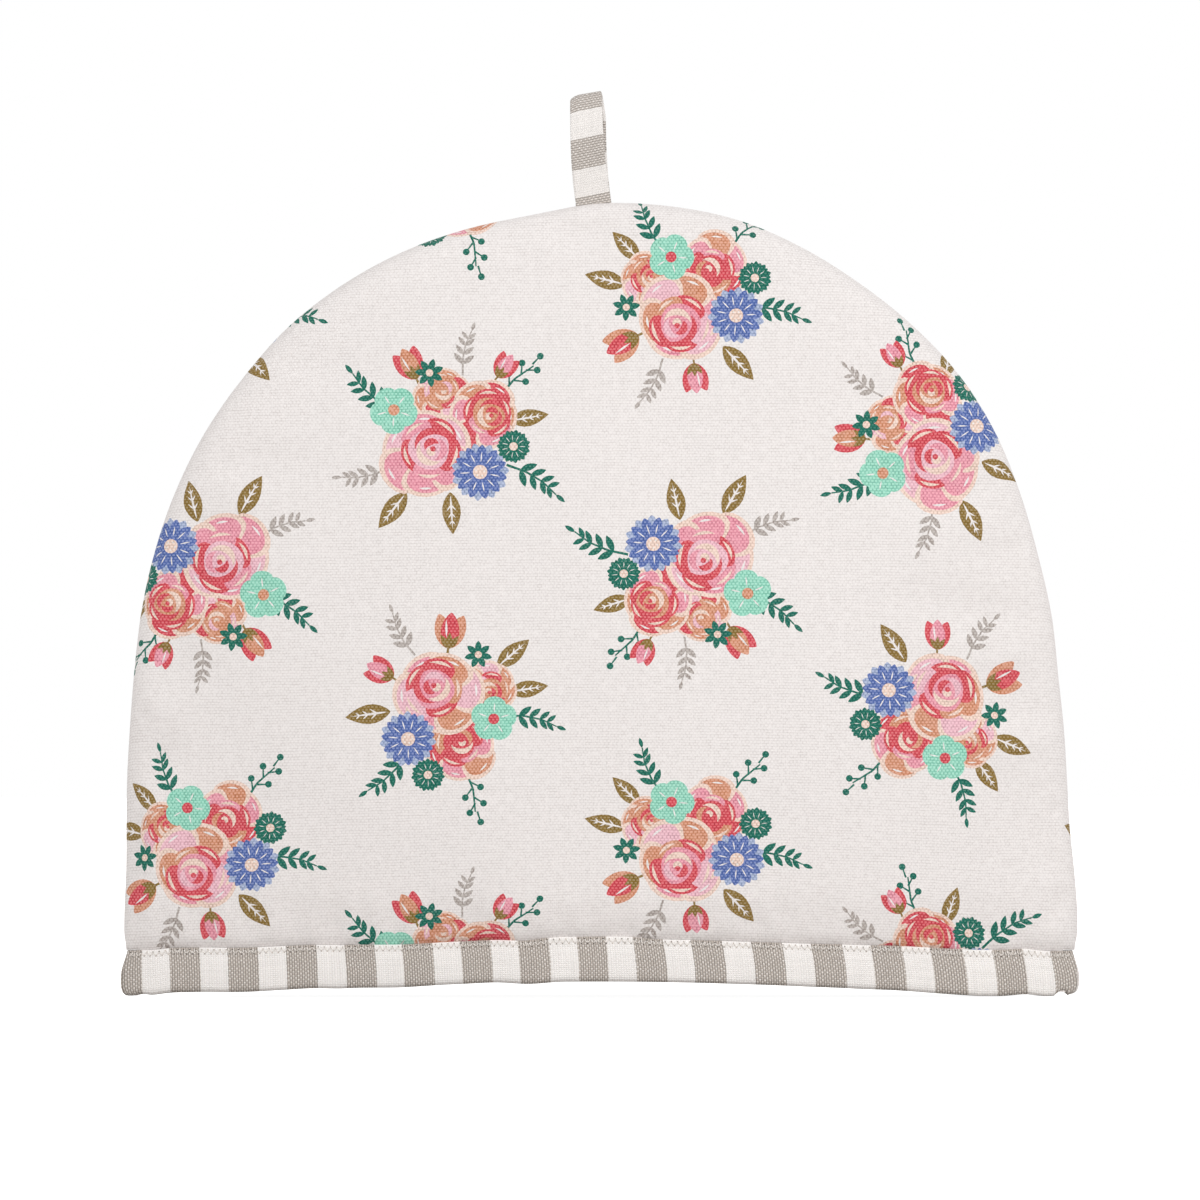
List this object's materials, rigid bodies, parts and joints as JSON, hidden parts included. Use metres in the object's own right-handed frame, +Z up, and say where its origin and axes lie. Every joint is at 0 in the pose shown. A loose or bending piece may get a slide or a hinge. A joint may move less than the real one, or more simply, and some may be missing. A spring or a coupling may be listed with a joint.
{
  "type": "tea cosy",
  "caption": "Domed, padded tea cosy standing opened on its hem, with a striped binding round the hem and a folded hanging loop in the crown.",
  "frame": {"origin": "middle of the part's footprint, on the surface that the hem rests on", "axes": "+X along the hem to the right as seen from the front, -Y out of the front panel, +Z up to the loop; the domed seam lies in the plane Y = 0"},
  "size_m": [0.342, 0.08, 0.3239],
  "materials": {
    "canvas": "matte plain-weave cotton, printed",
    "band_ticking": "matte woven cotton ticking, grey and white stripes",
    "loop_ticking": "matte woven cotton ticking, grey and white stripes"
  },
  "bodies": {
    "root": {"front_panel": "canvas", "back_panel": "canvas", "front_band": "band_ticking", "back_band": "band_ticking", "loop": "loop_ticking"}
  },
  "joints": []
}
